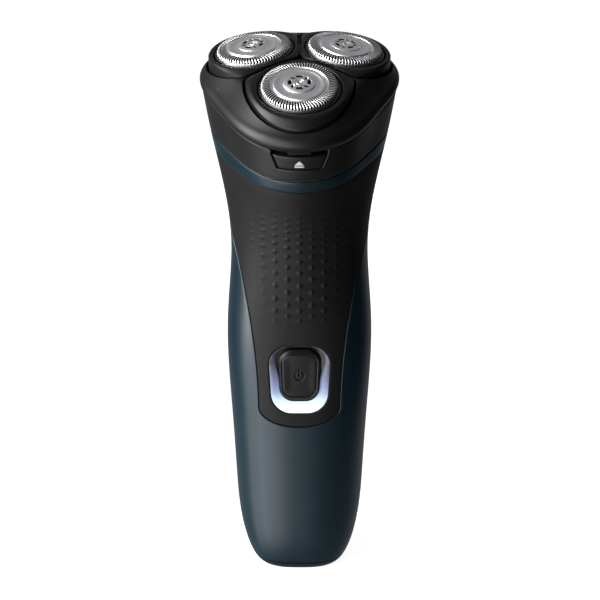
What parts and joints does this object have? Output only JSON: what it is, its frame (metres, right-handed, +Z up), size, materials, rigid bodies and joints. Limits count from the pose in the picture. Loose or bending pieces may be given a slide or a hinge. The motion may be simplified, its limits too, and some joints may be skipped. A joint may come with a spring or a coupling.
{
  "type": "rotary electric shaver",
  "caption": "Upright rotary shaver with three slotted guard caps on a leaning flip-open head, soft-touch front panel, power button in a light ring and a flat foot.",
  "frame": {"origin": "middle of the charging inlet's mouth in the plane of the foot's flat face, on the object's left-right mirror plane", "axes": "+Z up the handle, -Y towards the front panel and power button, X left to right"},
  "size_m": [0.0596, 0.0581, 0.1645],
  "materials": {
    "housing": "satin moulded, dark petrol blue",
    "base": "fine matt",
    "panel": "soft-touch matt",
    "head_plastic": "satin moulded",
    "petal_plastic": "satin moulded",
    "light": "frosted light guide",
    "button": "satin moulded",
    "rubber": "matt",
    "black_plastic": "fine matt",
    "white_plastic": "matt acetal",
    "board": "solder-resist satin",
    "led": "clear",
    "frame_plastic": "moulded",
    "cell": "shrink sleeve",
    "nickel": "bright",
    "can": "zinc plated",
    "magnet": "sintered",
    "steel": "ground",
    "spring_steel": "drawn wire",
    "copper": "enamelled winding",
    "brass": "turned",
    "deck": "pressed",
    "gear_plastic": "matt acetal",
    "cap_steel": "turned and polished",
    "cutter_steel": "ground"
  },
  "bodies": {
    "root": {"main_housing": "housing", "base_cap": "base", "front_panel": "panel", "neck_collar": "head_plastic", "release_spring": "spring_steel", "light_ring": "light", "button_seal": "rubber", "switch_body": "black_plastic", "circuit_board": "board", "indicator_leds": "led", "inner_frame": "frame_plastic", "battery": "cell", "battery_tabs": "nickel", "motor_can": "can", "motor_end_cap": "white_plastic", "motor_magnets": "magnet", "gear_deck": "deck", "gear_axles": "steel", "chamber_floor": "black_plastic", "spindle_seals": "rubber", "deck_screws": "steel", "motor_screws": "steel", "collar_seal": "rubber", "hinge_pin": "steel", "charging_socket": "black_plastic", "socket_pins": "nickel", "motor_terminals": "brass"},
    "motor_rotor": {"motor_shaft": "steel", "armature": "copper", "pinion": "brass"},
    "sun_gear": {"sun_gear": "gear_plastic"},
    "power_button": {"power_button": "button", "switch_plunger": "white_plastic"},
    "release_button": {"release_button": "head_plastic"},
    "head": {"head_frame": "head_plastic"},
    "drive_gear_1": {"drive_gear_1": "gear_plastic", "spindle_spring_1": "spring_steel"},
    "drive_spindle_1": {"drive_spindle_1": "white_plastic"},
    "petal_1": {"petal_1": "petal_plastic"},
    "cap_1": {"guard_cap_1": "cap_steel", "cap_holder_1": "black_plastic"},
    "cutter_1": {"cutter_1": "cutter_steel"},
    "retaining_ring_1": {"retaining_ring_1": "frame_plastic"},
    "drive_gear_2": {"drive_gear_2": "gear_plastic", "spindle_spring_2": "spring_steel"},
    "drive_spindle_2": {"drive_spindle_2": "white_plastic"},
    "petal_2": {"petal_2": "petal_plastic"},
    "cap_2": {"guard_cap_2": "cap_steel", "cap_holder_2": "black_plastic"},
    "cutter_2": {"cutter_2": "cutter_steel"},
    "retaining_ring_2": {"retaining_ring_2": "frame_plastic"},
    "drive_gear_3": {"drive_gear_3": "gear_plastic", "spindle_spring_3": "spring_steel"},
    "drive_spindle_3": {"drive_spindle_3": "white_plastic"},
    "petal_3": {"petal_3": "petal_plastic"},
    "cap_3": {"guard_cap_3": "cap_steel", "cap_holder_3": "black_plastic"},
    "cutter_3": {"cutter_3": "cutter_steel"},
    "retaining_ring_3": {"retaining_ring_3": "frame_plastic"}
  },
  "joints": [
    {"name": "head_open", "type": "hinge", "parent": "root", "child": "head", "pos_m": [0, 0.0206, 0.15774], "axis": [-1, 0, 0], "range_deg": [0, 105]},
    {"name": "release_press", "type": "slide", "parent": "root", "child": "release_button", "axis": [0, 0.9135, 0.4067], "range_m": [0, 0.001], "stiffness_N_per_m": 400, "springref_m": -0.0005},
    {"name": "power_press", "type": "slide", "parent": "root", "child": "power_button", "axis": [0, 1, 0], "range_m": [0, 0.0006], "stiffness_N_per_m": 800, "springref_m": -0.0004},
    {"name": "motor_spin", "type": "hinge", "parent": "root", "child": "motor_rotor", "pos_m": [0, -0.0042, 0.12765], "axis": [0, -0.4067, 0.9135], "continuous": true},
    {"name": "sun_spin", "type": "hinge", "parent": "root", "child": "sun_gear", "pos_m": [0, 0.00295, 0.1374], "axis": [0, -0.4067, 0.9135], "continuous": true},
    {"name": "drive_gear_1_spin", "type": "hinge", "parent": "root", "child": "drive_gear_1", "pos_m": [0, -0.01157, 0.13313], "axis": [0, -0.4067, 0.9135], "continuous": true},
    {"name": "drive_spindle_1_slide", "type": "slide", "parent": "drive_gear_1", "child": "drive_spindle_1", "axis": [0, 0.4067, -0.9135], "range_m": [0, 0.001], "deforming": ["spindle_spring_1"]},
    {"name": "petal_1_tilt", "type": "hinge", "parent": "head", "child": "petal_1", "pos_m": [0, -0.01677, 0.14511], "axis": [1, 0, 0], "range_deg": [-3, 3], "stiffness_Nm_per_rad": 0.05},
    {"name": "cap_1_float", "type": "slide", "parent": "petal_1", "child": "cap_1", "axis": [0, 0.524, -0.8517], "range_m": [0, 0.001], "stiffness_N_per_m": 500, "springref_m": -0.001},
    {"name": "cutter_1_spin", "type": "hinge", "parent": "cap_1", "child": "cutter_1", "pos_m": [0, -0.02043, 0.15107], "axis": [0, -0.524, 0.8517], "continuous": true},
    {"name": "retaining_ring_1_turn", "type": "hinge", "parent": "petal_1", "child": "retaining_ring_1", "pos_m": [0, -0.01703, 0.14554], "axis": [0, -0.524, 0.8517], "range_deg": [-25, 0]},
    {"name": "drive_gear_2_spin", "type": "hinge", "parent": "root", "child": "drive_gear_2", "pos_m": [0.01299, 0.00899, 0.14228], "axis": [0, -0.4067, 0.9135], "continuous": true},
    {"name": "drive_spindle_2_slide", "type": "slide", "parent": "drive_gear_2", "child": "drive_spindle_2", "axis": [0, 0.4067, -0.9135], "range_m": [0, 0.001], "deforming": ["spindle_spring_2"]},
    {"name": "petal_2_tilt", "type": "hinge", "parent": "head", "child": "petal_2", "pos_m": [0.01288, 0.00362, 0.15419], "axis": [-0.5, 0.7912, 0.3522], "range_deg": [-3, 3], "stiffness_Nm_per_rad": 0.05},
    {"name": "cap_2_float", "type": "slide", "parent": "petal_2", "child": "cap_2", "axis": [-0.1145, 0.3428, -0.9324], "range_m": [0, 0.001], "stiffness_N_per_m": 500, "springref_m": -0.001},
    {"name": "cutter_2_spin", "type": "hinge", "parent": "cap_2", "child": "cutter_2", "pos_m": [0.01368, 0.00122, 0.16071], "axis": [0.1145, -0.3428, 0.9324], "continuous": true},
    {"name": "retaining_ring_2_turn", "type": "hinge", "parent": "petal_2", "child": "retaining_ring_2", "pos_m": [0.01294, 0.00345, 0.15465], "axis": [0.1145, -0.3428, 0.9324], "range_deg": [-25, 0]},
    {"name": "drive_gear_3_spin", "type": "hinge", "parent": "root", "child": "drive_gear_3", "pos_m": [-0.01299, 0.00899, 0.14228], "axis": [0, -0.4067, 0.9135], "continuous": true},
    {"name": "drive_spindle_3_slide", "type": "slide", "parent": "drive_gear_3", "child": "drive_spindle_3", "axis": [0, 0.4067, -0.9135], "range_m": [0, 0.001], "deforming": ["spindle_spring_3"]},
    {"name": "petal_3_tilt", "type": "hinge", "parent": "head", "child": "petal_3", "pos_m": [-0.01288, 0.00362, 0.15419], "axis": [-0.5, -0.7912, -0.3522], "range_deg": [-3, 3], "stiffness_Nm_per_rad": 0.05},
    {"name": "cap_3_float", "type": "slide", "parent": "petal_3", "child": "cap_3", "axis": [0.1145, 0.3428, -0.9324], "range_m": [0, 0.001], "stiffness_N_per_m": 500, "springref_m": -0.001},
    {"name": "cutter_3_spin", "type": "hinge", "parent": "cap_3", "child": "cutter_3", "pos_m": [-0.01368, 0.00122, 0.16071], "axis": [-0.1145, -0.3428, 0.9324], "continuous": true},
    {"name": "retaining_ring_3_turn", "type": "hinge", "parent": "petal_3", "child": "retaining_ring_3", "pos_m": [-0.01294, 0.00345, 0.15465], "axis": [-0.1145, -0.3428, 0.9324], "range_deg": [-25, 0]}
  ],
  "couplings": [
    {"joint": "sun_spin", "follows": "motor_spin", "ratio": -0.4},
    {"joint": "drive_gear_1_spin", "follows": "motor_spin", "ratio": 0.4},
    {"joint": "drive_spindle_1_slide", "follows": "cap_1_float", "ratio": 1},
    {"joint": "cutter_1_spin", "follows": "motor_spin", "ratio": 0.4},
    {"joint": "drive_gear_2_spin", "follows": "motor_spin", "ratio": 0.4},
    {"joint": "drive_spindle_2_slide", "follows": "cap_2_float", "ratio": 1},
    {"joint": "cutter_2_spin", "follows": "motor_spin", "ratio": 0.4},
    {"joint": "drive_gear_3_spin", "follows": "motor_spin", "ratio": 0.4},
    {"joint": "drive_spindle_3_slide", "follows": "cap_3_float", "ratio": 1},
    {"joint": "cutter_3_spin", "follows": "motor_spin", "ratio": 0.4}
  ]
}
